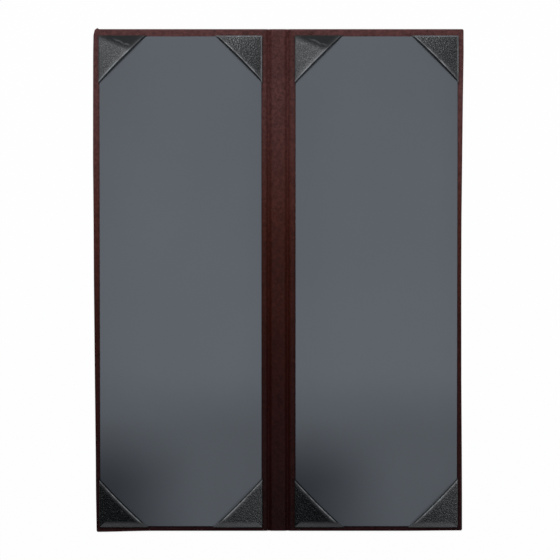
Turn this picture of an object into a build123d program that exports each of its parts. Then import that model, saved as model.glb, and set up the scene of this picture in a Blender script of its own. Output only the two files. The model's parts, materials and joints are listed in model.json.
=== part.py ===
from build123d import *
from math import atan2, cos, radians, sin, sqrt, tan
import os

# Menu cover: two stiff leaves joined by a flat spine, lying open, inner face up.
# The back leaf lies at +X, the front leaf at -X, the head of the menu at +Y.
# Z = 0 is the outer face that lies on the table. All sizes are in millimetres.

# Printed sheet that each leaf holds under its corner tabs
sheet_width = 107.95
sheet_height = 355.6
sheet_slack_x = 7.3
sheet_slack_y = 6.35

# Leaf and spine layout, seen from above
fore_edge_margin = 3.7
head_margin = 4.75
panel_to_hinge = 4.9
hinge_to_centre = 7.05
cover_corner_radius = 1.2

# Thicknesses
skin_thickness = 0.5
board_thickness = 2.0
turn_in_thickness = 0.5
tab_thickness = 0.5
tab_flap_thickness = 0.4
panel_liner_thickness = 0.2
panel_card_thickness = 1.0

# Edges and turned-in borders
cover_edge_radius = 0.8
board_corner_radius = 0.5
turn_in_width = 15.0
mitre_slit = 0.2
lining_wing_width = 20.0
lining_end_inset = 1.75
infill_clearance = 0.2

# Pressed groove at each hinge line
hinge_gap = 0.3
groove_foot = 0.3
groove_angle = 42.0
shoulder_radius = 0.8
outer_groove_depth = 0.35
outer_groove_floor = 1.0
outer_groove_width = 2.2
outer_groove_radius = 0.8
run_out = 3.0
run_out_angle = 5.0

# Panel
panel_corner_radius = 0.4
panel_edge_radius = 0.3
panel_turn_in = 12.0
adhesive_inset = 1.5

# Corner tabs
tab_leg = 36.0
tab_clearance = 0.1
tab_flap_depth = 12.0
tab_hem = 8.0
tab_bow = 0.9
tab_tip = 0.5
tab_wrap_radius = 0.35
tab_fold_radius = 0.3
tab_mitre_slit = 0.3

# Derived sizes
panel_width = sheet_width + 2 * sheet_slack_x
panel_height = sheet_height + 2 * sheet_slack_y
panel_inner_x = hinge_to_centre + panel_to_hinge
panel_outer_x = panel_inner_x + panel_width
panel_centre_x = (panel_inner_x + panel_outer_x) / 2
cover_half_width = panel_outer_x + fore_edge_margin
cover_height = panel_height + 2 * head_margin
cover_end = cover_height / 2

board_bottom = skin_thickness
board_top = board_bottom + board_thickness
leaf_top = board_top + turn_in_thickness
flap_top = leaf_top + tab_flap_thickness
card_bottom = flap_top + panel_liner_thickness
card_top = card_bottom + panel_card_thickness
panel_top = card_top + panel_liner_thickness

# Groove section, as distances from a hinge line and heights above the table
lining_thickness = turn_in_thickness
skive_thickness = lining_thickness / 2
groove_floor = outer_groove_depth + skin_thickness + lining_thickness
groove_run = (leaf_top - groove_floor) / tan(radians(groove_angle))
groove_shoulder = groove_foot + groove_run
bend = tan(radians(groove_angle / 2))
board_to_hinge = groove_shoulder + lining_thickness * bend
stiffener_half_width = hinge_to_centre - board_to_hinge
wing_end_x = hinge_to_centre + lining_wing_width
lap_start = cover_end - turn_in_width
lining_end = cover_end - lining_end_inset

# Corner tab section heights
tab_side_top = panel_top + tab_clearance + 2 * tab_thickness
tab_offset = tab_clearance + tab_thickness
tab_mouth = (tab_leg + tab_offset) / sqrt(2)
adhesive_corner = sqrt(2) * (tab_leg + tab_clearance)


def block(x_range, y_range, z_range, mode=Mode.ADD):
    """A rectangular block between two limits on each axis."""
    x_size = x_range[1] - x_range[0]
    y_size = y_range[1] - y_range[0]
    z_size = z_range[1] - z_range[0]
    with BuildSketch(Plane.XY.offset(z_range[0])) as base:
        with Locations(((x_range[0] + x_range[1]) / 2, (y_range[0] + y_range[1]) / 2)):
            Rectangle(x_size, y_size)
    extrude(base.sketch, amount=z_size, mode=mode)


def section(points, radii, half_length, mode=Mode.ADD):
    """A cross-section drawn in XZ, with a radius at each corner, run along the leaf."""
    with BuildSketch(Plane.XZ) as profile:
        with BuildLine():
            FilletPolyline(*points, radius=radii, close=True)
        make_face()
    extrude(profile.sketch, amount=half_length, both=True, mode=mode)


def both_hinges(points):
    """Points about one hinge line, as (distance, height), placed about each hinge line."""
    for side in (-1, 1):
        yield [(side * (hinge_to_centre + distance), height) for distance, height in points]


# Everything that a hinge line opens: the valley inside, the shallow groove outside
# and the slot between them, symmetric about the line
with BuildPart() as hinge_opening:
    run_out_height = leaf_top + run_out * tan(radians(run_out_angle))
    valley = [
        (groove_foot, groove_floor),
        (groove_shoulder, leaf_top),
        (groove_shoulder + run_out, run_out_height),
    ]
    far_valley = [(-distance, height) for distance, height in reversed(valley)]
    valley_radii = [hinge_gap / 2, shoulder_radius, 0, 0, shoulder_radius, hinge_gap / 2]
    outer_groove = [
        (outer_groove_floor, outer_groove_depth),
        (outer_groove_width, 0),
        (outer_groove_width + run_out, -outer_groove_depth),
        (-outer_groove_width - run_out, -outer_groove_depth),
        (-outer_groove_width, 0),
        (-outer_groove_floor, outer_groove_depth),
    ]
    outer_radii = [outer_groove_radius, outer_groove_radius, 0, 0] + [outer_groove_radius] * 2
    for points in both_hinges(valley + far_valley):
        section(points, valley_radii, cover_height)
    for points in both_hinges(outer_groove):
        section(points, outer_radii, cover_height)
    for side in (-1, 1):
        hinge_x = side * hinge_to_centre
        block(
            (hinge_x - hinge_gap / 2, hinge_x + hinge_gap / 2),
            (-cover_height, cover_height),
            (0, leaf_top),
        )

# Cover board of the back leaf
with BuildPart() as back_board:
    block(
        (hinge_to_centre + board_to_hinge, cover_half_width - skin_thickness),
        (skin_thickness - cover_end, cover_end - skin_thickness),
        (board_bottom, board_top),
    )
    fillet(back_board.edges().filter_by(Axis.Z).group_by(Axis.X)[-1], board_corner_radius)

# Stiffener strip of the spine
with BuildPart() as spine_stiffener:
    block(
        (-stiffener_half_width, stiffener_half_width),
        (skin_thickness - cover_end, cover_end - skin_thickness),
        (board_bottom, board_top),
    )

# Lining strip: over the spine, through both grooves and out under the panels. It is
# skived thin over the turned-in ends of the skin, and cut at the two hinge lines.
with BuildPart() as lining:
    for thickness, half_length in ((lining_thickness, lap_start), (skive_thickness, lining_end)):
        under_side = [
            (groove_shoulder + thickness * bend, leaf_top - thickness),
            (groove_foot + thickness * bend, groove_floor - thickness),
            (-groove_foot - thickness * bend, groove_floor - thickness),
            (-groove_shoulder - thickness * bend, leaf_top - thickness),
        ]
        near, far = both_hinges(under_side)
        strip = [(wing_end_x, leaf_top), (wing_end_x, leaf_top - thickness)]
        strip += far + near[::-1]
        strip += [(-wing_end_x, leaf_top - thickness), (-wing_end_x, leaf_top)]
        section(strip, [0] * len(strip), half_length)
    add(hinge_opening.part, mode=Mode.SUBTRACT)

# Infill sheet that levels the back leaf inside its turned-in borders
with BuildPart() as back_infill:
    block(
        (wing_end_x + infill_clearance, cover_half_width - turn_in_width - infill_clearance),
        (infill_clearance - lap_start, lap_start - infill_clearance),
        (board_top, leaf_top),
    )

# Skin: one sheet round both leaves and the spine, wrapped over their edges and turned in
# with mitred corners. It is cut at the two hinge lines.
with BuildPart() as cover_skin:
    block((-cover_half_width, cover_half_width), (-cover_end, cover_end), (0, leaf_top))
    fillet(cover_skin.edges().filter_by(Axis.Z), cover_corner_radius)
    flat_faces = cover_skin.faces().filter_by(Axis.Z)
    fillet(flat_faces.edges(), cover_edge_radius)
    add(hinge_opening.part, mode=Mode.SUBTRACT)
    block(
        (turn_in_width - cover_half_width, cover_half_width - turn_in_width),
        (-lap_start, lap_start),
        (board_top, leaf_top),
        mode=Mode.SUBTRACT,
    )
    joint_hollow = [
        (board_to_hinge, board_top),
        (board_to_hinge, board_bottom),
        (outer_groove_floor, groove_floor - lining_thickness),
        (-outer_groove_floor, groove_floor - lining_thickness),
        (-board_to_hinge, board_bottom),
        (-board_to_hinge, board_top),
    ]
    for points in both_hinges(joint_hollow):
        section(points, [0] * 6, lap_start, mode=Mode.SUBTRACT)
    with BuildSketch(Plane.XY.offset(leaf_top)):
        for side in (-1, 1):
            for end in (-1, 1):
                turn = 45 * side * end
                with Locations(Location((side * cover_half_width, end * cover_end), turn)):
                    Rectangle(2 * sqrt(2) * turn_in_width + 2 * mitre_slit, mitre_slit)
    extrude(amount=-skive_thickness, mode=Mode.SUBTRACT)
    add(lining.part, mode=Mode.SUBTRACT)
    add(spine_stiffener.part, mode=Mode.SUBTRACT)
    add(back_board.part, mode=Mode.SUBTRACT)
    add(mirror(back_board.part, about=Plane.YZ, mode=Mode.PRIVATE), mode=Mode.SUBTRACT)

# Card inside the back panel
with BuildPart() as back_panel_card:
    block(
        (panel_inner_x + panel_liner_thickness, panel_outer_x - panel_liner_thickness),
        (panel_liner_thickness - panel_height / 2, panel_height / 2 - panel_liner_thickness),
        (card_bottom, card_top),
    )

# Liner wrapped round the card, with its turned-in borders underneath
with BuildPart() as back_panel_liner:
    block(
        (panel_inner_x, panel_outer_x),
        (-panel_height / 2, panel_height / 2),
        (flap_top, panel_top),
    )
    fillet(back_panel_liner.edges().filter_by(Axis.Z), panel_corner_radius)
    fillet(back_panel_liner.faces().sort_by(Axis.Z)[-1].edges(), panel_edge_radius)
    add(back_panel_card.part, mode=Mode.SUBTRACT)
    block(
        (panel_inner_x + panel_turn_in, panel_outer_x - panel_turn_in),
        (panel_turn_in - panel_height / 2, panel_height / 2 - panel_turn_in),
        (flap_top, card_bottom),
        mode=Mode.SUBTRACT,
    )

# Adhesive that holds the back panel: level with the tab flaps, raised in the liner's window
with BuildPart() as back_panel_adhesive:
    block(
        (panel_inner_x + adhesive_inset, panel_outer_x - adhesive_inset),
        (adhesive_inset - panel_height / 2, panel_height / 2 - adhesive_inset),
        (leaf_top, flap_top),
    )
    block(
        (panel_inner_x + panel_turn_in, panel_outer_x - panel_turn_in),
        (panel_turn_in - panel_height / 2, panel_height / 2 - panel_turn_in),
        (flap_top, card_bottom),
    )
    with BuildSketch(Plane.XY.offset(leaf_top)):
        for side_x in (panel_inner_x, panel_outer_x):
            for side_y in (-panel_height / 2, panel_height / 2):
                with Locations(Location((side_x, side_y), 45)):
                    Rectangle(adhesive_corner, adhesive_corner)
    extrude(amount=card_bottom - leaf_top, mode=Mode.SUBTRACT)

# Corner tab: it is built about the point where the outer faces of its two sides would
# meet. Its face is part of a wide cylinder that runs along the corner's bisector and is
# tilted, so that it lies low along both sides and bows up at the mouth.
tab_corner_x = panel_outer_x + tab_offset
tab_corner_y = panel_height / 2 + tab_offset
hem_start = tab_mouth - tab_hem
bow_radius = (tab_mouth ** 2 + tab_bow ** 2) / (2 * tab_bow)
bow_tilt = atan2(tab_bow, tab_mouth)


def corner_prism(near, far, side_inset, bottom):
    """An upright block across the corner, between two distances from its point."""
    edge_x = tab_corner_x - side_inset
    edge_y = tab_corner_y - side_inset
    near_side = near * sqrt(2) - side_inset
    far_side = far * sqrt(2) - side_inset
    with BuildSketch(Plane.XY.offset(bottom)) as footprint:
        with BuildLine():
            Polyline(
                (tab_corner_x - near_side, edge_y),
                (tab_corner_x - far_side, edge_y),
                (edge_x, tab_corner_y - far_side),
                (edge_x, tab_corner_y - near_side),
                close=True,
            )
        make_face()
    extrude(footprint.sketch, amount=tab_side_top + tab_bow - bottom)


def keep_under_face(drop):
    """Keep what lies under the tab's face, or under that face lowered by a drop."""
    level = cos(bow_tilt) / sqrt(2)
    along_face = Plane(
        origin=(tab_corner_x, tab_corner_y, tab_side_top - drop),
        x_dir=(1, -1, 0),
        z_dir=(-level, -level, sin(bow_tilt)),
    )
    with Locations(along_face):
        with Locations((0, -bow_radius, 0)):
            Cylinder(bow_radius, 4 * tab_mouth, mode=Mode.INTERSECT)


# The pocket under the tab: shallower under the hem, where the strip is doubled
with BuildPart() as tab_pocket:
    corner_prism(tab_tip + tab_thickness, hem_start, tab_thickness, flap_top)
    keep_under_face(tab_thickness)
with BuildPart() as hem_pocket:
    corner_prism(hem_start, tab_mouth + tab_hem, tab_thickness, flap_top)
    keep_under_face(2 * tab_thickness)

# Corner tab at the head of the back leaf, fore edge side: a strip that is laid across
# the panel's corner, hemmed along its mouth and folded round to the panel's back
with BuildPart() as back_tab_head_outer:
    corner_prism(tab_tip, tab_mouth, 0, leaf_top)
    keep_under_face(0)
    top_rim = back_tab_head_outer.faces().sort_by(Axis.Z)[-1].edges()
    wrapped_edges = [top_rim.sort_by(side)[-1] for side in (Axis.X, Axis.Y)]
    chamfer(wrapped_edges, tab_wrap_radius)
    add(tab_pocket.part, mode=Mode.SUBTRACT)
    add(hem_pocket.part, mode=Mode.SUBTRACT)
    block(
        (panel_outer_x - tab_leg, panel_outer_x - tab_flap_depth),
        (panel_height / 2 - tab_leg, panel_height / 2 - tab_flap_depth),
        (leaf_top, flap_top),
        mode=Mode.SUBTRACT,
    )
    with BuildSketch(Plane.XY.offset(leaf_top)):
        with Locations(Location((panel_outer_x, panel_height / 2), 45)):
            Rectangle(2 * sqrt(2) * tab_flap_depth + 2 * tab_mitre_slit, tab_mitre_slit)
    extrude(amount=tab_flap_thickness, mode=Mode.SUBTRACT)
    toward_leaf_middle = Axis((0, 0, 0), (-1, -1, 0))
    mouth_edges = back_tab_head_outer.edges().group_by(toward_leaf_middle)[-1]
    long_edges = mouth_edges.sort_by(SortBy.LENGTH)[-2:]
    chamfer(long_edges, tab_fold_radius)

# The other three corner tabs of the back leaf, mirrored about the panel's middle lines
panel_middle = Plane.YZ.offset(panel_centre_x)
with BuildPart() as back_tab_head_spine:
    mirror(back_tab_head_outer.part, about=panel_middle)
with BuildPart() as back_tab_tail_outer:
    mirror(back_tab_head_outer.part, about=Plane.XZ)
with BuildPart() as back_tab_tail_spine:
    mirror(back_tab_head_spine.part, about=Plane.XZ)

# The skin and the lining as cut at the hinge lines, from the front leaf to the back leaf
cut_pieces = {}
for kind, whole in (("cover_skin", cover_skin), ("lining", lining)):
    for place, solid in zip(("front", "spine", "back"), whole.solids().sort_by(Axis.X)):
        with BuildPart() as stretch:
            add(solid)
        cut_pieces[f"{place}_{kind}"] = stretch

# Pieces of the back leaf that the front leaf has in mirror image
leaf_pieces = {
    "board": back_board,
    "infill": back_infill,
    "panel_adhesive": back_panel_adhesive,
    "panel_card": back_panel_card,
    "panel_liner": back_panel_liner,
    "tab_head_outer": back_tab_head_outer,
    "tab_head_spine": back_tab_head_spine,
    "tab_tail_outer": back_tab_tail_outer,
    "tab_tail_spine": back_tab_tail_spine,
}

pieces = {"spine_stiffener": spine_stiffener} | cut_pieces
for kind, back_piece in leaf_pieces.items():
    with BuildPart() as front_piece:
        mirror(back_piece.part, about=Plane.YZ)
    pieces[f"back_{kind}"] = back_piece
    pieces[f"front_{kind}"] = front_piece

os.makedirs("parts", exist_ok=True)
for name, piece in pieces.items():
    piece.part.label = name
    export_step(piece.part, f"parts/{name}.step")
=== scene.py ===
"""Menu cover, open and flat: two burgundy leaves on a grooved spine, each with a charcoal
panel and four black corner tabs. Lengths are in metres, +Z is up from the table and +Y is
the head of the menu."""

import json
import math

import bmesh
import bpy
import numpy as np
from bpy.props import FloatProperty, FloatVectorProperty, PointerProperty
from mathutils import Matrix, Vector


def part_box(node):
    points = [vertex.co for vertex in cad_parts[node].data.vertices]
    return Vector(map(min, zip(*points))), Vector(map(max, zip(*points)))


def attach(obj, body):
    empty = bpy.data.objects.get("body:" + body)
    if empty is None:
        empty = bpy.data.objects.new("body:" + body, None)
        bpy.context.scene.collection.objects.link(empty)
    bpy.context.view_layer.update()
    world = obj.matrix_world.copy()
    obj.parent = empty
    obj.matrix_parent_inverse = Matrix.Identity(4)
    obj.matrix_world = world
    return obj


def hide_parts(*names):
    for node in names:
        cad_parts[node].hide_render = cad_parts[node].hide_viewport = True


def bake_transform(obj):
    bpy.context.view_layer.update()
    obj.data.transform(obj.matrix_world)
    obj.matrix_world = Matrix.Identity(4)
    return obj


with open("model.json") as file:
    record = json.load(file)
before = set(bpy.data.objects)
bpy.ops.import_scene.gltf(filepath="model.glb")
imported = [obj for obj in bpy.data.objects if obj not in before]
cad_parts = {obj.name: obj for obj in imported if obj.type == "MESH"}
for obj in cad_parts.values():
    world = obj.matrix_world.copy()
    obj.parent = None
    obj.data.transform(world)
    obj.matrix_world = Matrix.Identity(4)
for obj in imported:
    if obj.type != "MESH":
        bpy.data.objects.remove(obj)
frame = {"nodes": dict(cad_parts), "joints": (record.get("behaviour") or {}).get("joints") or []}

bl_info = {
    "name": "Menu cover",
    "version": (1, 0, 0),
    "blender": (4, 5, 0),
    "location": "View3D > Sidebar > Menu cover",
    "description": "Builds the leaves, lining, panels and corner tabs of a two-page menu cover",
    "category": "Object",
}

MM = 0.001
ROOT2 = math.sqrt(2)
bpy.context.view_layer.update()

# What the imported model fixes: the hinge lines and the boxes of the back leaf's pieces
HINGE = Vector(frame["joints"][0]["pos_m"])
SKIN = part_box("back_cover_skin")
FORE, HEAD, TOP = SKIN[1]
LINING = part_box("back_lining")
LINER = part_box("back_panel_liner")
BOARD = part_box("back_board")
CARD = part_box("back_panel_card")
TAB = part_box("back_tab_head_outer")
LEAVES = (("front", -1), ("back", 1))
CORNERS = (
    ("head_outer", 1, 1),
    ("head_spine", -1, 1),
    ("tail_outer", 1, -1),
    ("tail_spine", -1, -1),
)


def length(name, description, default, low=0.0, high=0.1):
    return FloatProperty(
        name=name, description=description, default=default, min=low, max=high,
        unit="LENGTH", precision=5,
    )


def colour(name, description, default):
    return FloatVectorProperty(
        name=name, description=description, default=default, min=0.0, max=1.0,
        size=3, subtype="COLOR",
    )


def linear(red, green, blue):
    """A colour as it is read off a screen, 0 to 255, as the shader's own linear values."""
    return tuple(((c / 255 + 0.055) / 1.055) ** 2.4 if c > 10 else c / 3294.6
                 for c in (red, green, blue))


# Sizes and colours that a user would change


class LeafSizes(bpy.types.PropertyGroup):
    skin: length("Skin", "Thickness of the leatherette skin", 0.45 * MM)
    edge_round: length("Edge rounding", "How far the wrapped edge rounds in", 1.2 * MM)
    edge_drop: length("Edge drop", "How far the wrapped edge rounds down", 0.8 * MM)
    turn_in: length("Turn-in", "Width of the skin's turned-in border", 15 * MM)
    groove_floor: length("Groove floor", "Height of the groove's floor above the table", 1.35 * MM)
    groove_foot: length("Groove foot", "Half width of the groove's floor", 0.1 * MM)
    groove_top: length("Groove top", "Half width of the groove at the leaf's face", 2.15 * MM)
    outer_groove: length("Outer groove", "Depth of the shallow groove outside", 0.35 * MM)
    outer_half: length("Outer groove half width", "Half width of the groove outside", 2.2 * MM)
    lap: length("Lap", "Height of the lining's skived end above the skin", 0.12 * MM)
    wave: length("Wave", "Unevenness of the covered boards", 0.06 * MM)


class PanelSizes(bpy.types.PropertyGroup):
    edge_round: length("Edge rounding", "Rounding of the panel's edges", 0.45 * MM)
    cloth: length("Liner", "Thickness of the panel's liner", 0.19 * MM)
    turn_in: length("Turn-in", "Width of the liner's turned-in border", 12 * MM)
    trim: length("Trim", "How far each long side is cut in from the packed size", 0.5 * MM)
    slip_out: length("Slip outward", "How far the back panel sits out from the spine", 0.65 * MM)
    slip_down: length("Slip down", "How far both panels sit towards the tail", 0.9 * MM)


class TabSizes(bpy.types.PropertyGroup):
    thickness: length("Thickness", "Thickness of the tab's leatherette", 0.46 * MM)
    bulge: length("Bulge", "How far the mouth's middle stands above the sides", 1.4 * MM)
    pillow: length("Pillow", "Fullness between the corner and the mouth", 0.35 * MM)
    wrap: length("Wrap rounding", "Rounding where the tab wraps the panel's edges", 0.55 * MM)
    fold: length("Fold width", "How far the mouth's rolled fold reaches out", 1.3 * MM)
    fold_height: length("Fold height", "Half the height of the mouth's rolled fold", 0.55 * MM)
    lip: length("Lip", "How far the rolled fold stands above the face", 0.3 * MM)
    ease: length("Ease", "How far the mouth stays short of the packed tab's", 0.6 * MM)
    bow: length("Bow", "How far the mouth's middle bows in towards the corner", 0.6 * MM)
    flap: length("Flap", "Depth of the flap glued behind the panel", 12 * MM)
    hem: length("Hem", "Depth of the hem inside the mouth", 8 * MM)
    crease: length("Crease", "Height of the crease in the stretched tabs", 0.4 * MM)


class Finishes(bpy.types.PropertyGroup):
    # the four burgundy colours are stops of a painted sheen, strongest at the head and fading
    # towards the tail
    burgundy: colour("Burgundy", "Leatherette of the cover, at its head", linear(73, 43, 41))
    burgundy_upper: colour("Burgundy, upper", "The same, above the middle", linear(60, 28, 22))
    burgundy_middle: colour("Burgundy, middle", "The same, below the middle", linear(42, 15, 10))
    burgundy_tail: colour("Burgundy, tail", "The same, darker at its tail", linear(27, 8, 9))
    black: colour("Black", "Leatherette of the corner tabs", linear(16, 18, 19))
    # a paler black, for the painted highlight on the tabs' fold, edges and crease, and for worn
    # flecks
    wear_and_highlight: colour("Rubbed black", "The same, where its folds are rubbed", linear(148, 151, 154))
    charcoal: colour("Charcoal", "Liner of the panels", linear(82, 87, 93))
    # a painted dark cloud, painted shade in the liner's tail
    shade_cloud: colour("Shade cloud", "Painted dark cloud in the liner's tail", linear(31, 36, 43))
    grain: length("Grain", "Size of the burgundy grain", 0.9 * MM)
    pebble: length("Pebble", "Size of the black pebble grain", 1.35 * MM)


class StageSettings(bpy.types.PropertyGroup):
    distance: length("Camera distance", "From the cover's face", 1.6, 0.5, 10.0)
    tilt: FloatProperty(name="Camera tilt", description="Lean of the camera towards the head",
                        default=math.radians(1.5), min=0, max=1, subtype="ANGLE")
    width: length("View width", "Width of the picture at the cover's face", 0.4213, 0.1, 2.0)
    key: FloatProperty(name="Key light", description="Power of the large soft light", default=67,
                       min=0, subtype="POWER")
    room: FloatProperty(name="Room light", description="Strength of the even light all round",
                        default=0.15, min=0)


# Node trees written as expressions


def operator(operation, reflected=False):
    """An operator or a method of a socket that adds one Math node."""
    def worked(self, *others):
        values = (*others, self) if reflected else (self, *others)
        return self.graph.node("ShaderNodeMath", values, operation=operation)
    return worked


class Socket:
    """A node's output socket, with the arithmetic that the finishes and the tab's fold use."""

    def __init__(self, graph, output):
        self.graph, self.output = graph, output

    __add__, __radd__ = operator("ADD"), operator("ADD", reflected=True)
    __sub__, __rsub__ = operator("SUBTRACT"), operator("SUBTRACT", reflected=True)
    __mul__, __rmul__ = operator("MULTIPLY"), operator("MULTIPLY", reflected=True)
    __truediv__, __pow__ = operator("DIVIDE"), operator("POWER")
    __gt__, __lt__ = operator("GREATER_THAN"), operator("LESS_THAN")
    abs, sign, sqrt = operator("ABSOLUTE"), operator("SIGN"), operator("SQRT")
    sin, cos = operator("SINE"), operator("COSINE")
    least, most = operator("MINIMUM"), operator("MAXIMUM")

    def __neg__(self):
        return self * -1.0

    def within(self, low, high):
        return self.most(low).least(high)

    def ramp(self, low, high):
        """0 below low, 1 above high, smooth between them."""
        return self.graph.node("ShaderNodeMapRange", {"Value": self, "From Min": low,
                               "From Max": high}, interpolation_type="SMOOTHSTEP")


class Graph:
    """One node tree. Its node method adds any node and gives the output that is asked for."""

    def __init__(self, tree):
        self.tree = tree

    def node(self, kind, inputs=(), output=0, **settings):
        """Inputs are values or sockets, in order or by the name of the input."""
        made = self.tree.nodes.new(kind)
        for name, value in settings.items():
            if name == "stops":
                ramp = made.color_ramp.elements
                ramp[0].position, ramp[1].position = value[0][0], value[-1][0]
                for place, _ in value[1:-1]:
                    ramp.new(place)
                for element, (_, shade) in zip(ramp, value):
                    element.color = (*shade, 1)
            else:
                setattr(made, name, value)
        pairs = inputs.items() if isinstance(inputs, dict) else enumerate(inputs)
        for name, value in pairs:
            if isinstance(value, Socket):
                self.tree.links.new(value.output, made.inputs[name])
            else:
                made.inputs[name].default_value = value
        return Socket(self, made.outputs[output])

    def mix(self, share, first, second, blend="MIX"):
        """A colour mixed from two colours."""
        first, second = (shade if isinstance(shade, Socket) else (*shade, 1)
                         for shade in (first, second))
        return self.node("ShaderNodeMix", {0: share, 6: first, 7: second}, 2,
                         data_type="RGBA", blend_type=blend)

    def vectors(self, operation, *values):
        return self.node("ShaderNodeVectorMath", values, operation=operation)

    def noise(self, place, scale, detail=2.0, roughness=0.5):
        return self.node("ShaderNodeTexNoise", {"Vector": place, "Scale": scale,
                         "Detail": detail, "Roughness": roughness})

    def cells(self, place, scale, feature="F1"):
        return self.node("ShaderNodeTexVoronoi", {"Vector": place, "Scale": scale},
                         feature=feature)

    def stirred(self, place, scale, reach):
        """A place moved a little by noise, so that a pattern on it isn't regular."""
        swirl = self.node("ShaderNodeTexNoise", {"Vector": place, "Scale": scale}, "Color")
        moved = self.vectors("SUBTRACT", swirl, (0.5, 0.5, 0.5))
        return self.vectors("MULTIPLY_ADD", moved, (reach, reach, reach), place)

    def split(self, vector):
        """The three numbers of a vector."""
        made = self.tree.nodes.new("ShaderNodeSeparateXYZ")
        self.tree.links.new(vector.output, made.inputs[0])
        return [Socket(self, out) for out in made.outputs]

    def place(self):
        """The Object coordinates of a point, as a vector."""
        return self.node("ShaderNodeTexCoord", output="Object")

    def bumped(self, height, depth, strength):
        return self.node("ShaderNodeBump", {"Height": height, "Distance": depth,
                         "Strength": strength})

    def seen_by(self, *rays):
        """1 where either of two kinds of ray looks."""
        path = self.tree.nodes.new("ShaderNodeLightPath")
        first, second = (Socket(self, path.outputs[f"Is {ray} Ray"]) for ray in rays)
        return first.most(second)


def finish(name, **constants):
    """A new material with a Principled shader, its constant sockets set, and its graph."""
    material = bpy.data.materials.new(name)
    material.use_nodes = True
    graph = Graph(material.node_tree)
    shader = material.node_tree.nodes["Principled BSDF"]
    for socket, value in constants.items():
        shader.inputs[socket.replace("_", " ")].default_value = value

    def feed(**sockets):
        for socket, value in sockets.items():
            graph.tree.links.new(value.output, shader.inputs[socket.replace("_", " ")])
    return material, graph, feed


def times(factor, shade):
    """A colour made deeper or paler."""
    return tuple(factor * c for c in shade)


def burgundy_leatherette(name, lift):
    """Coated leatherette with a shallow creased grain, with a painted sheen that is strongest at
    the head and fades towards the tail, and worn paler along the wrapped edges. Lift makes the
    outside's cut a little paler."""
    look = bpy.context.scene.finishes
    material, g, feed = finish(name, IOR=1.48, Specular_IOR_Level=0.05)
    here = g.place()
    x, y, _ = g.split(here)
    grain = 1 / look.grain
    here = g.stirred(here, grain * 0.7, look.grain * 0.9)
    creases = g.cells(here, grain, "DISTANCE_TO_EDGE").ramp(0.0, 0.22)
    soft = g.noise(here, grain * 0.42, 3)
    pores = g.noise(here, grain * 2.6)
    broad = g.noise(here, 14, 3)
    face = creases * 0.6 + soft * 0.5 + pores * 0.15
    # painted sheen: the ramp below makes the colour paler towards the head and darker towards the
    # tail
    head_sheen_share = y / HEAD * 0.5 + 0.5 + (broad - 0.5) * 0.15
    tone = g.node("ShaderNodeValToRGB", [head_sheen_share], stops=(
        (0.04, look.burgundy_tail), (0.42, look.burgundy_middle),
        (0.63, look.burgundy_upper), (0.88, look.burgundy)))
    mottle = (0.5 + (soft - 0.5) * 1.5 + (creases - 0.7) * 0.35 + (broad - 0.5) * 0.4).within(0, 1)
    shade = g.mix(mottle, times(0.5, lift), times(1.5, lift))
    toned = g.mix(1.0, tone, shade, "MULTIPLY")
    # the wrapped edges, rubbed paler and smoother
    rim_width = 1.1 * MM
    rim = x.abs().ramp(FORE - rim_width, FORE).most(y.abs().ramp(HEAD - rim_width, HEAD))
    wear_and_highlight = rim * g.noise(here, 60, 4).ramp(0.42, 0.62)
    feed(Base_Color=g.mix(wear_and_highlight * 0.25, toned, tuple(1.1 * c + 0.004 for c in look.burgundy)),
         Roughness=0.36 - (broad - 0.5) * 0.1 + creases * 0.05 - wear_and_highlight * 0.05,
         Normal=g.bumped(face, 0.09 * MM, 0.8))
    return material


def black_leatherette(name, painted_lightness, gloss, roughness, depth, flecks=0.0):
    """Pebble-grained black leatherette: rounded pebbles between fine dark creases, with a painted
    highlight on the fold, edges and crease, painted shade and a duller face above the crease and
    on the roll's outward face, smoother and a little paler where it is pulled over an edge, and
    flecked paler where its pebbles are worn."""
    look = bpy.context.scene.finishes
    material, g, feed = finish(name, IOR=1.5, Specular_IOR_Level=gloss)
    here = g.place()
    # the black, painted paler for a painted sheen in one copy and darker for painted shade in
    # another
    tone = times(painted_lightness, look.black)
    pebble = 1 / look.pebble
    here = g.stirred(here, pebble * 0.8, look.pebble * 0.9)
    large = g.cells(here, pebble, "SMOOTH_F1")
    edges = g.cells(here, pebble, "DISTANCE_TO_EDGE").ramp(0.0, 0.16)
    small = g.cells(here, pebble * 2.3, "F1")
    broad = g.noise(here, 45, 3)
    rub, dull, pulled = (g.node("ShaderNodeAttribute", output="Fac", attribute_name=word)
                         for word in ("rub", "dull", "pulled"))
    # painted shade (above the crease, on the roll's outward face) darkens the colour, raises the
    # roughness and flattens the grain
    height = ((1 - large) * 0.7 + edges * 0.35 - small * 0.18) * (1 - pulled.most(dull) * 0.6)
    shade = edges * 0.55 + (broad - 0.5) * 0.6 + 0.2 - dull * 0.6
    plain = g.mix(shade.within(0, 1), times(0.3, tone), times(1.6, tone))
    # paler for the painted highlight, a little paler where a side is pulled smooth, and for worn
    # flecks
    paler = (rub * (0.85 + (broad - 0.5) * 0.6)).most(pulled * 0.13)
    paler = paler.most(g.noise(here, pebble * 1.1).ramp(0.5, 0.7) * (1 - dull) * flecks)
    matte = roughness - (broad - 0.5) * 0.12 + (1 - edges) * 0.12 + dull * 0.5
    feed(Base_Color=g.mix(paler.within(0, 1), plain, look.wear_and_highlight),
         Roughness=matte.within(0.15, 0.85),
         Normal=g.bumped(height, depth, 0.9))
    return material


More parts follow.
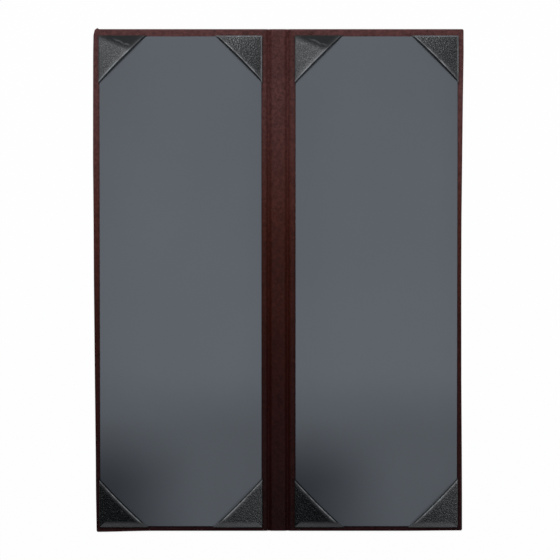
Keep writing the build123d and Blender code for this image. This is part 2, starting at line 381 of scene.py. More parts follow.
def charcoal_liner():
    """Satin charcoal liner: a fine emboss with a soft uneven painted sheen that brightens it from
    the head towards the middle, darker along its sides, painted shade in its tail, and a painted
    dark cloud that spreads from the tail's left corner."""
    look = bpy.context.scene.finishes
    material, g, feed = finish("charcoal_vellum", IOR=1.45, Specular_IOR_Level=0.35)
    here = g.place()
    x, y, _ = g.split(here)
    fine = g.noise(here, 2600, 3, 0.6)
    weave = g.cells(here, 2100, "F1")
    broad = g.noise(here, 9)
    cloudy = g.noise(here, 26, 3)
    wander = (cloudy - 0.5) * 0.01
    # how far in from the left and the right side of its own panel
    from_left = x - (x > 0.0) * (LINER[0].x + LINER[1].x) + LINER[1].x
    from_right = (LINER[1].x - LINER[0].x) - from_left
    height = y + (broad - 0.5) * 0.012 + wander * 0.5
    # painted sheen: paler from the head towards the middle
    glow = 1 - height.ramp(-0.07, 0.17)
    sides = (1 - (from_left + wander).ramp(-0.004, 0.045)) * 0.55 + (
        1 - (from_right + wander).ramp(-0.002, 0.02)) * 0.45
    shade = 0.42 + glow * 0.36 - sides * 0.24 + (broad - 0.5) * 0.35 + (cloudy - 0.5) * 0.16 + (
        fine - 0.5) * 0.12
    clear = g.mix(shade.within(0, 1), times(0.8, look.charcoal), times(1.3, look.charcoal))
    # painted shade: darker towards the tail
    dull = 1 - height.ramp(-0.12, -0.062)
    tailed = g.mix(dull * 0.26, clear, (0.0, 0.0, 0.0))
    # painted dark cloud: painted shade in the tail, spreading from the left corner
    shade_cloud = (1 - height.ramp(-0.158, -0.098)) * (1 - (from_left + wander).ramp(0.0006, 0.085))
    feed(Base_Color=g.mix(shade_cloud, tailed, look.shade_cloud),
         Roughness=0.62 + (cloudy - 0.5) * 0.12 + (fine - 0.5) * 0.08,
         Normal=g.bumped(weave * 0.5 + fine * 0.5, 0.03 * MM, 0.6))
    return material


def pulp(name, tone, speck, roughness, scale):
    """A fibrous sheet, such as board, card or paper: mottled, with specks and a felted face."""
    material, g, feed = finish(name)
    here = g.place()
    mottle = g.noise(here, scale, 5, 0.65)
    specks = g.cells(here, scale * 3).ramp(0.12, 0.2)
    felt = g.noise(here, scale * 8, 3)
    feed(Base_Color=g.mix(specks * 0.7 + mottle * 0.3, speck, tone),
         Roughness=roughness + (mottle - 0.5) * 0.1,
         Normal=g.bumped(felt, 0.05 * MM, 0.5))
    return material


# Mesh makers


def new_object(name, points, faces):
    mesh = bpy.data.meshes.new(name)
    mesh.from_pydata([tuple(p) for p in points], [], faces)
    made = bpy.data.objects.new(name, mesh)
    bpy.context.scene.collection.objects.link(made)
    return made


def piece(name, points, faces, material, crease_angle=40):
    """A mesh object at the origin, with its material and its shading."""
    made = new_object(name, points, faces)
    made.data.materials.append(material)
    tidy(made.data, crease_angle)
    return made


def tidy(mesh, crease_angle):
    """Merges doubles and shades the mesh smooth but for the edges sharper than an angle."""
    shape = bmesh.new()
    shape.from_mesh(mesh)
    bmesh.ops.remove_doubles(shape, verts=shape.verts, dist=0.002 * MM)
    bmesh.ops.dissolve_degenerate(shape, edges=shape.edges, dist=0.001 * MM)
    shape.to_mesh(mesh)
    shape.free()
    mesh.shade_smooth()
    mesh.set_sharp_from_angle(angle=math.radians(crease_angle))


def settle(made, crease_angle):
    """Turns an object's modifiers into its mesh and removes them."""
    bpy.context.view_layer.update()
    finished = bpy.data.meshes.new_from_object(
        made.evaluated_get(bpy.context.evaluated_depsgraph_get()))
    for modifier in list(made.modifiers):
        made.modifiers.remove(modifier)
    finished.name = made.name
    made.data = finished
    tidy(finished, crease_angle)


def thicken(made, thickness, crease_angle=40):
    """Gives a sheet its thickness, inward from the face that shows."""
    wall = made.modifiers.new("thickness", "SOLIDIFY")
    wall.thickness = thickness
    wall.offset = -1
    wall.use_even_offset = False
    settle(made, crease_angle)


def spread(*stretches):
    """Rising values through given stops: each stretch is (end, steps), after the first stop."""
    values = [stretches[0]]
    for end, steps in stretches[1:]:
        values += list(np.linspace(values[-1], end, steps + 1)[1:])
    return np.array(values)


def turn_stops(reach):
    """Stops over the width of a rounded side, from its edge inward."""
    return reach * (1 - np.tan(np.linspace(math.pi / 4, 0, 5)))


def rounded_stops(low, high, reach, steps, both=True):
    """Stops between two sides that lie close together where the sides round over."""
    turn = turn_stops(reach)
    near = low + turn if both else np.array([low])
    far = (high - turn)[::-1]
    return np.concatenate([near, np.linspace(near[-1], far[0], steps + 1)[1:-1], far])


def wrapped_box(xs, ys, zs, radii, hole=(0, (0, 0), (0, 0)), open_low_x=False):
    """The faces of a box on a lattice of stops, its edges rounded. The hole (side, x range,
    y range) leaves out the faces that lie inside it on the bottom (0) or the top (1)."""
    stops = (xs, ys, zs)
    number, points, faces = {}, [], []

    def at(place):
        if place not in number:
            number[place] = len(points)
            points.append([line[step] for line, step in zip(stops, place)])
        return number[place]

    side, *hole_ranges = hole
    for axis, first, second in ((2, 0, 1), (1, 0, 2), (0, 1, 2)):
        for high in (0, 1):
            if open_low_x and axis == 0 and not high:
                continue
            for i in range(len(stops[first]) - 1):
                for j in range(len(stops[second]) - 1):
                    if axis == 2 and high == side and all(
                            low < (line[step] + line[step + 1]) / 2 < end
                            for line, step, (low, end) in zip(stops, (i, j), hole_ranges)):
                        continue
                    face = []
                    for step_i, step_j in ((0, 0), (1, 0), (1, 1), (0, 1)):
                        place = [high * (len(line) - 1) for line in stops]
                        place[first], place[second] = i + step_i, j + step_j
                        face.append(at(tuple(place)))
                    faces.append(face[::-1] if bool(high) == (axis == 1) else face)
    points, radii = np.array(points), np.array(radii)
    low = np.array([line[0] for line in stops]) + radii
    high = np.array([line[-1] for line in stops]) - radii
    if open_low_x:
        low[0] = -1
    core = np.clip(points, low, high)
    ray = (points - core) / radii
    size = np.linalg.norm(ray, axis=1)
    out = size > 1e-6
    points[out] = core[out] + radii * ray[out] / size[out, None]
    return points, faces


def plain_block(low, high):
    """A board or card between two corners, with its corners just eased."""
    across = np.append(low.x, np.linspace(high.x - 8 * MM, high.x, 4))
    along = np.linspace(low.y, high.y, 40)
    return wrapped_box(across, along, np.array([low.z, high.z]), [0.05 * MM] * 3)


def closed_sheet(upper, lower):
    """A closed form between two grids of points, the upper one facing up."""
    points = np.concatenate([upper.reshape(-1, 3), lower.reshape(-1, 3)])
    under = len(points) // 2
    grid = np.arange(under).reshape(upper.shape[:2])
    corners = (grid[:-1, :-1], grid[1:, :-1], grid[1:, 1:], grid[:-1, 1:])
    faces = np.stack([corner.ravel() for corner in corners], 1)
    rim = np.concatenate([grid[:-1, 0], grid[-1, :-1], grid[:0:-1, -1], grid[0, :0:-1]])
    ahead = np.roll(rim, -1)
    walls = np.stack([rim, under + rim, under + ahead, ahead], 1)
    return points, np.concatenate([faces, under + faces[:, ::-1], walls]).tolist()


def smooth(value, low, high):
    share = np.clip((value - low) / (high - low), 0, 1)
    return share * share * (3 - 2 * share)


def nearing(value, end, reach):
    """1 at an end, 0 further inside it than its reach, smooth between them."""
    return smooth(value, end - reach, end)


def ripple(x, y, scale, seed):
    """A smooth unevenness between about -1 and 1, the same for the same seed."""
    chance = np.random.default_rng(seed)
    total = np.zeros_like(np.asarray(x, float) + np.asarray(y, float))
    for _ in range(6):
        turn, shift = chance.uniform(0, 2 * math.pi, 2)
        wave = chance.uniform(0.6, 1.5) / scale
        onward = x * math.cos(turn) + y * math.sin(turn)
        total = total + np.sin(2 * math.pi * wave * onward + shift)
    return total / 3


def soft_least(first, second, reach):
    """The smaller of two heights, with the turn between them rounded."""
    share = np.clip(0.5 + (second - first) / (2 * reach), 0, 1)
    return second * (1 - share) + first * share - reach * share * (1 - share)


def leaf_face(x, sizes):
    """Height of the leaf's inner face, with the valley of the groove."""
    away = np.abs(x - HINGE.x)
    slope = (TOP - sizes.groove_floor) / (sizes.groove_top - sizes.groove_foot)
    wall = sizes.groove_floor + slope * (away - sizes.groove_foot)
    foot_turn, shoulder_turn = 0.12 * MM, 0.45 * MM
    valley = -soft_least(-wall, -sizes.groove_floor, foot_turn)
    return soft_least(valley, TOP, shoulder_turn)


def leaf_back(x, sizes):
    """Height of the leaf's outer face, with its shallow groove."""
    away = np.abs(x - HINGE.x)
    return sizes.outer_groove * (1 - smooth(away, 0.4 * MM, sizes.outer_half))


# What the pieces of a leaf share


def hinge_stops():
    """Stops across the spine's half and its groove, close together in the groove."""
    return spread(0.0, (HINGE.x - 4 * MM, 4), (HINGE.x - 2.6 * MM, 4), (HINGE.x + 2.6 * MM, 26),
                  (HINGE.x + 4 * MM, 5))


def mirrored(points, faces, side):
    """The same form for the front leaf, with its faces still outward."""
    if side > 0:
        return points, faces
    return points * np.array([-1, 1, 1]), [face[::-1] for face in faces]


def leaf_piece(name, xyz, faces, side, material):
    """A piece of one leaf, given as it lies on the back leaf."""
    points, faces = mirrored(np.stack(xyz, 1), faces, side)
    return piece(name, points, faces, material)


def bend_at_hinge(made):
    """Bakes the piece's placing into its mesh."""
    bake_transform(made)


def strayed(x, y, side, edge):
    """How far a point near a leaf's fore edge strays out, from the leaf's tail to its head."""
    stops = (-1, -0.85, -0.7, -0.4, 0, 0.25, 0.48, 0.72, 0.9, 1)
    front = (-1.15, -0.72, -0.6, -0.08, 0.5, 0.66, 0.95, 0.8, 0.66, 0.35)
    back = (0.7, 0.62, 0.44, -0.05, -0.29, -0.22, 0.2, 0.62, 1.1, 1.0)
    out = MM * np.interp(y / HEAD, stops, front if side < 0 else back)
    return out * smooth(x, edge - 8 * MM, edge - 1 * MM)


def laid(x, y, sizes, side):
    """Where a point of a panel comes to lie, since the panels aren't laid quite true."""
    return x + (sizes.slip_out if side > 0 else 0.0), y - sizes.slip_down


# Operators, one for each kind of piece


class MENUCOVER_OT_skin(bpy.types.Operator):
    """Makes the burgundy skin, wrapped round the boards and turned in with mitred corners"""
    bl_idname = "menucover.skin"
    bl_label = "Outer skin"

    def execute(self, context):
        sizes = context.scene.leaf_sizes
        material = burgundy_leatherette("burgundy_grain", (1.22, 1.26, 1.34))
        across = np.concatenate([hinge_stops()[:-1], rounded_stops(
            HINGE.x + 4 * MM, FORE, sizes.edge_round, 46, both=False)])
        # closer stops for the lump at the worn corner
        near_end = FORE - np.array([1.6, 2.1, 2.7, 3.4, 4.4]) * MM
        inner_x = FORE - sizes.turn_in
        inner_y = (SKIN[0].y + sizes.turn_in, HEAD - sizes.turn_in)
        across = np.sort(np.concatenate([across, near_end, [inner_x]]))
        lap = LINING[1].y
        near_lap = [s * (lap - step * MM) for step in (0.8, 0.25, 0.03, -0.03) for s in (-1, 1)]
        inner = np.sort(np.concatenate([
            np.linspace(-lap + 3 * MM, lap - 3 * MM, 96), inner_y, near_lap]))
        turn = turn_stops(sizes.edge_round)
        along = np.concatenate([SKIN[0].y + turn, inner, (HEAD - turn)[::-1]])
        up = rounded_stops(0, TOP, sizes.edge_drop, 2)
        radii = (sizes.edge_round, sizes.edge_round, sizes.edge_drop)
        hole = (1, (-1, inner_x), inner_y)
        tuck = 0.05 * MM + sizes.lap  # how far the skin lies under the lining's face
        corner = 5 * MM  # how far in a corner's wear reaches
        sag = {-1: 0.8 * MM, 1: -0.3 * MM}  # of each leaf's outer tail corner
        for leaf, side in LEAVES:
            points, faces = wrapped_box(across, along, up, radii, hole, open_low_x=True)
            x, y, z = points.T
            under_lining = (1 - smooth(x, LINING[1].x, LINING[1].x + 0.3 * MM)) * (
                1 - smooth(np.abs(y), lap - 0.03 * MM, lap + 0.03 * MM))
            top = leaf_face(x, sizes) - tuck * under_lining
            low = leaf_back(x, sizes)
            share = z / TOP
            uneven = sizes.wave * ripple(x + 0.3 * side, y, 0.07, 5) * smooth(x, 0.012, 0.03)
            z = low + share * (top - low) + uneven * share * (share > 0.98)
            x = x + strayed(x, y, side, FORE)
            sunk = sag[side] * nearing(x, FORE, 45 * MM)
            y = y - sunk * nearing(-y, HEAD, corner)
            if side < 0:
                # a lump in the fold at the worn outer head corner, which is rubbed in
                lump, lump_in, lump_width, rubbed_in = 0.8 * MM, 2.0 * MM, 1.1 * MM, 0.9 * MM
                rise = np.exp(-((FORE - x - lump_in) / lump_width) ** 2)
                y = y + lump * rise * nearing(y, HEAD, corner)
                x = x - rubbed_in * nearing(y, HEAD, corner) * nearing(x, FORE, corner)
            made = leaf_piece(f"{leaf}_skin", (x, y, z), faces, side, material)
            thicken(made, sizes.skin)
            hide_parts(f"{leaf}_cover_skin", "spine_cover_skin")
            bend_at_hinge(made)
        return {"FINISHED"}


class MENUCOVER_OT_lining(bpy.types.Operator):
    """Makes the lining strip down the spine, through both grooves and under the panels"""
    bl_idname = "menucover.lining"
    bl_label = "Spine lining"

    def execute(self, context):
        sizes = context.scene.leaf_sizes
        material = burgundy_leatherette("burgundy_grain_lining", (1.0, 1.0, 1.0))
        across = np.append(hinge_stops(), np.linspace(HINGE.x + 5 * MM, LINING[1].x, 10))
        end = LINING[1].y
        # how far the strip stands above the face, and how much deeper it is past the turn-ins
        proud, deeper = 0.02 * MM, 0.25 * MM
        near_end = np.array([6, 3, 1.6, 1.0, 0.5, 0.2, 0.0]) * MM
        along = np.concatenate([near_end[::-1] - end, np.linspace(8 * MM - end, end - 8 * MM, 90),
                                end - near_end])
        for leaf, side in LEAVES:
            x, y = np.meshgrid(across, along, indexing="ij")
            from_end = end - np.abs(y)
            skived = 1 - smooth(from_end, 0, 1.6 * MM)
            uneven = ripple(x, y, 0.05, 3) * smooth(from_end, 0, 30 * MM)
            face = leaf_face(x, sizes) + 0.6 * sizes.wave * uneven
            upper = face + proud * (1 - skived) - proud * skived
            lower = leaf_face(x, sizes) - (sizes.lap + proud)
            lower = lower - deeper * smooth(from_end, 14 * MM, 16 * MM)
            grid = [np.stack([x, y, level], 2) for level in (upper, lower)]
            points, faces = mirrored(*closed_sheet(*grid), side)
            made = piece(f"{leaf}_spine_lining", points, faces, material, 50)
            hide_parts(f"{leaf}_lining", "spine_lining")
            bend_at_hinge(made)
        return {"FINISHED"}


class MENUCOVER_OT_panels(bpy.types.Operator):
    """Makes the charcoal liners and the cards that they wrap, laid as they lie in the cover"""
    bl_idname = "menucover.panels"
    bl_label = "Panels"

    def execute(self, context):
        sizes = context.scene.panel_sizes
        material = charcoal_liner()
        card = pulp("card_pulp", (0.32, 0.3, 0.26), (0.2, 0.18, 0.15), 0.85, 600)
        trim = Vector((sizes.trim, 0, 0))
        low, high = LINER[0] + trim, LINER[1] - trim
        reach = sizes.edge_round
        inner_x, inner_y = ((low[i] + sizes.turn_in, high[i] - sizes.turn_in) for i in (0, 1))
        across = np.sort(np.append(rounded_stops(low.x, high.x, reach, 44), inner_x))
        along = np.sort(np.append(rounded_stops(low.y, high.y, reach, 120), inner_y))
        top_round, slack = 0.3 * MM, 0.05 * MM
        up = rounded_stops(low.z, high.z, top_round, 1)
        hole = (0, inner_x, inner_y)
        for leaf, side in LEAVES:
            points, faces = wrapped_box(across, along, up, (reach, reach, top_round), hole)
            x, y, z = points.T
            on_top = nearing(z, high.z, 0.25 * MM)
            inside = smooth(np.minimum(x - low.x, high.x - x), 0, 8 * MM)
            z = z + slack * on_top * inside * (1 + ripple(x + side, y, 0.09, 21))
            x, y = laid(x, y, sizes, side)
            made = leaf_piece(f"{leaf}_panel", (x, y, z), faces, side, material)
            thicken(made, sizes.cloth)
            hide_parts(f"{leaf}_panel_liner")
            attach(made, f"{leaf}_cover")
            points, faces = plain_block(CARD[0] + trim, CARD[1] - trim)
            x, y, z = points.T
            x, y = laid(x, y, sizes, side)
            made = leaf_piece(f"{leaf}_cut_card", (x, y, z), faces, side, card)
            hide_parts(f"{leaf}_panel_card")
            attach(made, f"{leaf}_cover")
        return {"FINISHED"}


def tab_blank(sizes, reach):
    """The flat cut of a tab, as a grid in the XY plane: Y runs from the panel's corner to the
    mouth and on round the hem, and X runs across it, past both of the panel's edges."""
    fold_start = reach / ROOT2 - sizes.fold
    rows = spread(0.0, (3 * MM, 8), (fold_start - 1 * MM, 34), (fold_start, 3))
    turn = math.pi * np.linspace(0, 1, 9)[1:]
    hem = sizes.hem * np.linspace(0, 1, 9)[1:]
    # how far from the corner each row lies once it is folded
    reached = np.concatenate([rows, fold_start + sizes.fold * np.sin(turn),
                              fold_start - hem - 0.8 * MM])
    leading = len(rows) + 3
    rows = np.concatenate([rows, fold_start + sizes.fold * turn,
                           fold_start + sizes.fold * math.pi + hem])
    arc = sizes.wrap * math.pi / 2 * np.linspace(0, 1, 6)
    side = arc[-1] + np.array([0.35, 0.7, 1.0]) * 4.5 * MM
    flap = side[-1] + sizes.flap * np.linspace(0, 1, 7)[1:]
    outer = np.concatenate([arc[1:], side, flap])
    face = np.linspace(-1, 1, 41)
    points, faces = [], []
    columns = len(outer) * 2 + len(face)
    for row, far in zip(rows, reached - ROOT2 * sizes.wrap):
        beyond = np.maximum(far + ROOT2 * outer, 0)
        line = np.concatenate([-beyond[::-1], face * max(far, 0), beyond])
        points += [(u, row, 0) for u in line]
    for i in range(len(rows) - 1):
        for j in range(columns - 1):
            if i >= leading and not len(outer) <= j < len(outer) + len(face) - 1:
                continue
            a, b = i * columns + j, (i + 1) * columns + j
            faces.append([a, a + 1, b + 1, b])
    return points, faces


def tab_tree():
    """The rule that folds a tab's blank round the corner of a panel."""
    tree = bpy.data.node_groups.new("fold_tab_round_corner", "GeometryNodeTree")
    tree.is_modifier = True
    face = tree.interface
    face.new_socket("Geometry", in_out="INPUT", socket_type="NodeSocketGeometry")
    face.new_socket("Corner", in_out="INPUT", socket_type="NodeSocketVector")
    for name in ("Quarter turns", "Reach", "Underside", "Wrap", "Fold", "Fold height", "Lip",
                 "Flap", "Bulge", "Pillow", "Bow", "Crease", "Side highlight", "Pulled side",
                 "Shaded from", "Seed"):
        face.new_socket(name, in_out="INPUT", socket_type="NodeSocketFloat")
    face.new_socket("Material", in_out="INPUT", socket_type="NodeSocketMaterial")
    face.new_socket("Geometry", in_out="OUTPUT", socket_type="NodeSocketGeometry")
    g = Graph(tree)
    given = tree.nodes.new("NodeGroupInput")

    def ask(name):
        return Socket(g, given.outputs[name])

    u, v, _ = g.split(g.node("GeometryNodeInputPosition"))
    away = u.abs()
    reach, wrap, fold = ask("Reach"), ask("Wrap"), ask("Fold")
    mouth = reach / ROOT2
    # the roll at the mouth, then the hem back under the face
    from_fold = v - (mouth - fold)
    past = from_fold.most(0.0)
    roll = (past / fold).least(math.pi)
    back = (past - fold * math.pi).most(0.0)
    flat_depth = v.least(mouth - fold)
    bowed = 1 - (away / flat_depth.most(0.5 * MM)).least(1.0) ** 2.0
    bow = ask("Bow") * bowed * (flat_depth / mouth) ** 3.0
    depth = flat_depth + fold * roll.sin() - back - bow
    drop = ask("Fold height") * (1 - roll.cos())
    # the face: low along both sides, full at the mouth, with a crease and small unevenness
    near = away.least(depth)
    ahead, aside = depth / mouth, near / mouth
    signed = u.sign() * near
    full = (ahead * ahead * 0.35 + ahead * 0.65) - aside * aside
    off_middle = aside / ahead.most(0.02)
    pillow = (ahead * (1 - ahead) * 4).most(0.0) * (1 - off_middle ** 2.0).most(0.0)
    flat = g.node("ShaderNodeCombineXYZ", [signed, depth, ask("Seed")])
    uneven = (g.noise(flat, 110) - 0.5) * (0.5 * MM)
    # the crease runs from the head side to the mouth, and above it the face gets painted shade and
    # is duller
    across_crease, along_crease = 0.921, 0.389
    over = signed * -across_crease - depth * along_crease
    ridge_line = over + (g.noise(flat, 260) - 0.5) * (3 * MM)
    beside = (1 - ((ridge_line - 1.9 * MM).abs() / (1 * MM))).most(0.0)
    ridge = beside * beside * ahead.ramp(0.3, 0.55)
    creased = ask("Crease") > 0.0
    above = over.ramp(-3.4 * MM, 2.6 * MM) * creased
    lip = (1 - (from_fold / (3.2 * MM)).abs()).most(0.0)
    corner_x, corner_y, level = g.split(ask("Corner"))
    height = level + ask("Bulge") * full + ask("Pillow") * pillow * ahead + uneven * ahead + (
        ask("Crease") * ridge) + ask("Lip") * lip * lip * (3 - 2 * lip) * (1 - off_middle ** 6.0)
    # past an edge: round the panel's edge, down its side and flat under it
    quarter = math.pi / 2
    past_edge = (away - depth) / ROOT2 + wrap
    beyond, inside = past_edge.most(0.0), past_edge.least(0.0)
    bend = (beyond / wrap).least(quarter)
    wall = height - wrap - ask("Underside")
    down = (beyond - wrap * quarter).within(0.0, wall)
    under = (beyond - wrap * quarter - wall).most(0.0).least(ask("Flap"))
    along = ((depth + away) / ROOT2).least(depth * ROOT2)
    # short of the mitre, where the two flaps meet
    tucked = under.least((along - 0.1 * MM).most(0.0))
    across = wrap * (1 - bend.sin()) - inside + tucked
    rise = height - wrap * (1 - bend.cos()) - down - drop * (1 - bend / quarter)
    # soften the upright corner
    round_corner = 0.6 * MM
    from_a, from_b = (round_corner - along).most(0.0), (round_corner - across).most(0.0)
    scale = from_a.most(from_b) / (from_a * from_a + from_b * from_b).sqrt().most(1e-7)
    pull = 1 - (from_a.least(from_b) > 1e-7) * (1 - scale)
    along = along + from_a - from_a * pull
    across = across + from_b - from_b * pull
    # swap for the other side, then place at the corner
    other = u < 0.0
    a = along * (1 - other) + across * other
    b = across * (1 - other) + along * other
    placed = g.node("ShaderNodeCombineXYZ", [-a, -b, rise])
    turned = g.node("ShaderNodeVectorRotate", {
        "Vector": placed, "Angle": ask("Quarter turns") * quarter}, rotation_type="Z_AXIS")
    final = g.vectors("ADD", turned, g.node("ShaderNodeCombineXYZ", [corner_x, corner_y, 0.0]))
    # painted highlight on the fold's crest, the wrapped edges and the crease's ridge; painted
    # shade, and a duller face, above the crease and where the roll turns away; a side is smooth
    # painted highlight: a soft gradient up to the fold, and a thin line on its crest
    swept = (1 + from_fold / (3.4 * MM)).within(0.0, 1.0)
    patchy = g.noise(flat, 150).ramp(0.25, 0.7)
    crest = ((1 - (from_fold.abs() / (0.6 * MM))) * (0.35 + patchy * 0.75)).most(
        swept * swept * 0.26 * (0.6 + patchy * 0.5) * (from_fold < 0.0))
    from_side = (depth - away) / ROOT2
    sides = ((1 - ((bend - 0.7).abs() / 0.7)) * (beyond > 0.0)).most(
        1 - (from_side - wrap).abs() / (0.8 * MM)) * ask("Side highlight") * (0.5 + patchy * 0.6)
    pulled = (1 - from_side.ramp(2.2 * MM, 5.2 * MM)) * ((signed * ask("Pulled side")) > 0.0)
    # painted shade on the roll's outward face, past where it turns away from the light
    shaded = from_fold.ramp(fold * ask("Shaded from"), fold * (ask("Shaded from") + 0.35))
    crest = crest * (1 - (away / mouth).least(1.0) ** 4.0 * 0.55) * (
        1 - pulled * 0.85) * (1 - above * 0.6) * (1 - shaded)
    wear_and_highlight = crest.most(sides).most(ridge * creased * 0.32).within(0.0, 1.0)
    marked = ask("Geometry")
    for word, value in (("rub", wear_and_highlight), ("dull", above.most(shaded)), ("pulled", pulled)):
        marked = g.node("GeometryNodeStoreNamedAttribute",
                        {"Geometry": marked, "Name": word, "Value": value},
                        data_type="FLOAT", domain="POINT")
    folded = g.node("GeometryNodeSetPosition", {"Geometry": marked, "Position": final})
    whole = g.node("GeometryNodeMergeByDistance", {"Geometry": folded, "Distance": 0.004 * MM})
    real = g.node("GeometryNodeRealizeInstances", {"Geometry": whole})
    dressed = g.node("GeometryNodeSetMaterial", {"Geometry": real, "Material": ask("Material")})
    out = tree.nodes.new("NodeGroupOutput")
    tree.links.new(dressed.output, out.inputs[0])
    return tree


class MENUCOVER_OT_corner_tabs(bpy.types.Operator):
    """Folds the eight black corner tabs round the corners of the panels"""
    bl_idname = "menucover.corner_tabs"
    bl_label = "Corner tabs"

    def execute(self, context):
        sizes, panel = context.scene.tab_sizes, context.scene.panel_sizes
        # the third copy (2.9) is painted paler as a painted sheen, and the fourth (0.5) is painted
        # darker as painted shade; the first two differ only in gloss and grain
        plain = black_leatherette("black_pebble", 1.0, 0.5, 0.34, 0.35 * MM)
        eased = black_leatherette("black_pebble_eased", 1.0, 0.42, 0.35, 0.25 * MM)
        stretched_lit = black_leatherette("black_pebble_lit", 2.9, 0.46, 0.42, 0.14 * MM, 0.1)
        dulled_shaded = black_leatherette("black_pebble_shaded", 0.5, 0.1, 0.26, 0.6 * MM, 0.038)
        # how each tab sits, by the corner of a leaf that it is at: its quarter turns, its finish
        # (one with a painted sheen, one with painted shade), how full it is, how far its wrapped
        # edges get a painted highlight, the side that is pulled smooth, how much further it
        # reaches, and where its roll turns away from the light and its painted shade starts
        worn = {(-1, 1): (1.0, stretched_lit, 1.1, 0.0, 0.0, 0.0, 0.4),
                (1, 1): (0.0, eased, 1.5, 0.5, 0.0, -0.7 * MM, 0.1),
                (-1, -1): (2.0, dulled_shaded, 1.0, 0.0, 1.0, 0.8 * MM, 0.4),
                (1, -1): (3.0, plain, 1.1, 0.0, -1.0, 1.2 * MM, 0.4)}
        tree = tab_tree()
        known = {socket.name: socket.identifier for socket in tree.interface.items_tree
                 if socket.in_out == "INPUT"}
        usual_reach = TAB[1].x - TAB[0].x - sizes.ease
        panel_middle = (LINER[0].x + LINER[1].x) / 2
        from_middle = TAB[1].x - panel_middle - panel.trim
        fullness = 0.9 * MM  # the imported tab's, between its sides and its highest point
        level = TAB[1].z - fullness
        for leaf, side in LEAVES:
            for place, out_x, out_y in CORNERS:
                corner_x, corner_y = laid(panel_middle + out_x * from_middle,
                                          out_y * TAB[1].y, panel, side)
                corner = (side * corner_x, corner_y, level)
                name = f"{leaf}_corner_tab_{place}"
                turned, material, full, side_highlight, pulled, further, shaded_from = worn[
                    out_x * side, out_y]
                reach = usual_reach + further
                points, faces = tab_blank(sizes, reach)
                made = new_object(name, points, faces)
                fold = made.modifiers.new("fold", "NODES")
                fold.node_group = tree
                creased = sizes.crease if material is stretched_lit else 0.0
                for key, value in (
                    ("Corner", corner), ("Quarter turns", turned),
                    ("Reach", reach), ("Underside", TAB[0].z), ("Wrap", sizes.wrap),
                    ("Fold", sizes.fold), ("Fold height", sizes.fold_height),
                    ("Lip", sizes.lip), ("Flap", sizes.flap), ("Bulge", sizes.bulge * full),
                    ("Pillow", sizes.pillow), ("Bow", sizes.bow), ("Crease", creased),
                    ("Side highlight", side_highlight), ("Pulled side", pulled), ("Shaded from", shaded_from),
                    ("Seed", 1.7 * (turned + 4 * side)), ("Material", material),
                ):
                    fold[known[key]] = value
                settle(made, 60)
                thicken(made, sizes.thickness, 60)
                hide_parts(f"{leaf}_tab_{place}")
                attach(made, f"{leaf}_cover")
        return {"FINISHED"}


class MENUCOVER_OT_core(bpy.types.Operator):
    """Gives the boards, papers and adhesive inside the cover their finishes, and cuts the front
    board to the fore edge that its skin has"""
    bl_idname = "menucover.core"
    bl_label = "Boards and papers"

    def execute(self, context):
        board = pulp("board_pulp", (0.235, 0.215, 0.185), (0.1, 0.09, 0.08), 0.9, 420)
        paper = pulp("paper_pulp", (0.52, 0.46, 0.36), (0.35, 0.29, 0.2), 0.88, 500)
        glue = pulp("adhesive_sheet", (0.72, 0.68, 0.56), (0.6, 0.55, 0.42), 0.45, 260)
        kinds = {"board": board, "infill": paper, "panel_adhesive": glue}
        dressed = {f"{leaf}_{kind}": kinds[kind] for kind in kinds for leaf, _ in LEAVES}
        for node, material in (dressed | {"spine_stiffener": board}).items():
            frame["nodes"][node].data.materials.clear()
            frame["nodes"][node].data.materials.append(material)

        points, faces = plain_block(*BOARD)
        x, y, z = points.T
        x = x + np.minimum(strayed(x, y, -1, BOARD[1].x), 0)
        made = leaf_piece("front_cut_board", (x, y, z), faces, -1, board)
        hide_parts("front_board")
        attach(made, "front_cover")
        return {"FINISHED"}


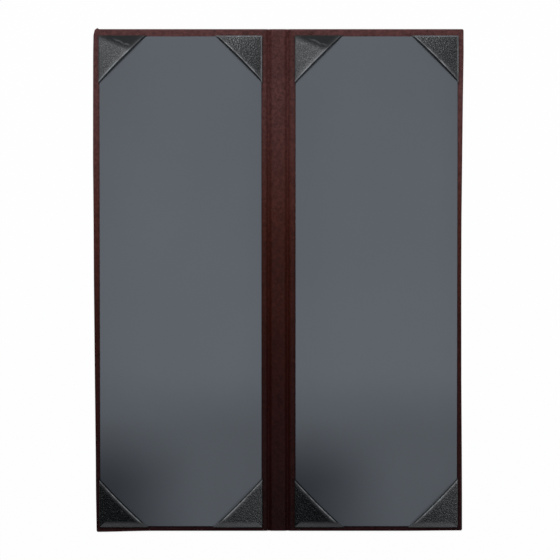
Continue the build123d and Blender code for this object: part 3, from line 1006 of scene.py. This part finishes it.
class MENUCOVER_OT_stage(bpy.types.Operator):
    """Sets up the pale floor, the soft light and the camera that looks straight down"""
    bl_idname = "menucover.stage"
    bl_label = "Stage"

    def execute(self, context):
        scene, stage = context.scene, context.scene.stage
        floor, g, _ = finish("floor_white", Base_Color=(0.86, 0.86, 0.86, 1), Roughness=0.9)
        tree = floor.node_tree
        matt = Socket(g, tree.nodes["Principled BSDF"].outputs[0])
        glow = g.node("ShaderNodeEmission", {"Color": (1, 1, 1, 1), "Strength": 1.0})
        both = g.node("ShaderNodeMixShader", [g.seen_by("Camera", "Glossy") * 0.95, matt, glow])
        tree.links.new(both.output, tree.nodes["Material Output"].inputs[0])
        half, low = 3.0, -0.2 * MM
        corners = [(-half, -half, low), (half, -half, low), (half, half, low), (-half, half, low)]
        ground = piece("floor", corners, [[0, 1, 2, 3]], floor)

        world = scene.world or bpy.data.worlds.new("studio")
        scene.world = world
        world.use_nodes = True
        air = Graph(world.node_tree)
        world.node_tree.nodes.clear()
        even, white = (
            air.node("ShaderNodeBackground", {"Color": (*tint, 1), "Strength": strength})
            for tint, strength in (((0.93, 0.96, 1.0), stage.room), ((1, 1, 1), 1.0)))
        both = air.node("ShaderNodeMixShader",
                        [air.seen_by("Camera", "Transmission"), even, white])
        out = world.node_tree.nodes.new("ShaderNodeOutputWorld")
        world.node_tree.links.new(both.output, out.inputs[0])

        def lamp(name, place, power, tint):
            """A large soft light that is aimed at the middle of the cover."""
            data = bpy.data.lights.new(name, "AREA")
            data.shape, data.size, data.size_y = "RECTANGLE", 1.2, 1.2
            data.energy, data.color = power, tint
            made = bpy.data.objects.new(name, data)
            scene.collection.objects.link(made)
            made.location = place
            made.rotation_mode = "QUATERNION"
            made.rotation_quaternion = (-Vector(place)).to_track_quat("-Z", "Y")

        lamp("key_light", (-0.45, 1.3, 2.65), stage.key, (0.975, 0.985, 1.0))
        lamp("fill_light", (1.7, -0.35, 2.6), stage.key * 0.3, (0.96, 0.98, 1.0))

        data = bpy.data.cameras.new("camera")
        data.sensor_width = 36
        data.lens = 36 * stage.distance / stage.width
        data.clip_start, data.clip_end = 0.05, 20
        camera = bpy.data.objects.new("camera", data)
        scene.collection.objects.link(camera)
        face_middle = Vector((0, 0, 3 * MM))
        lean = Vector((0, math.sin(stage.tilt), math.cos(stage.tilt)))
        camera.location = face_middle + stage.distance * lean
        camera.rotation_euler = (-stage.tilt, 0, 0)
        # where the cover's middle stands in the picture, from its left and its top
        pixels, across, down = 560, 278.1, 280.8
        data.shift_x = (pixels / 2 - across) / pixels
        data.shift_y = (down - pixels / 2) / pixels
        scene.camera = camera
        scene.view_settings.view_transform = "Standard"
        return {"FINISHED"}


class MENUCOVER_PT_pieces(bpy.types.Panel):
    """Lists the cover's sizes, finishes and makers"""
    bl_label = "Menu cover"
    bl_idname = "MENUCOVER_PT_pieces"
    bl_space_type = "VIEW_3D"
    bl_region_type = "UI"
    bl_category = "Menu cover"

    def draw(self, context):
        for group in GROUPS:
            box = self.layout.box()
            box.label(text=group.replace("_", " ").capitalize())
            held = getattr(context.scene, group)
            for name in held.bl_rna.properties.keys():
                if name not in ("rna_type", "name"):
                    box.prop(held, name)
        for maker in MAKERS:
            self.layout.operator(maker.bl_idname)


GROUPS = {
    "leaf_sizes": LeafSizes,
    "panel_sizes": PanelSizes,
    "tab_sizes": TabSizes,
    "finishes": Finishes,
    "stage": StageSettings,
}
MAKERS = (MENUCOVER_OT_stage, MENUCOVER_OT_skin, MENUCOVER_OT_lining, MENUCOVER_OT_panels,
          MENUCOVER_OT_corner_tabs, MENUCOVER_OT_core)


def register():
    for cls in (*GROUPS.values(), *MAKERS, MENUCOVER_PT_pieces):
        bpy.utils.register_class(cls)
    for name, group in GROUPS.items():
        setattr(bpy.types.Scene, name, PointerProperty(type=group))


def unregister():
    for name in GROUPS:
        delattr(bpy.types.Scene, name)
    for cls in (MENUCOVER_PT_pieces, *reversed(MAKERS), *reversed(GROUPS.values())):
        bpy.utils.unregister_class(cls)


def main():
    register()
    bpy.ops.menucover.stage()
    bpy.ops.menucover.skin()
    bpy.ops.menucover.lining()
    bpy.ops.menucover.panels()
    bpy.ops.menucover.corner_tabs()
    bpy.ops.menucover.core()


if __name__ == "__main__":
    main()
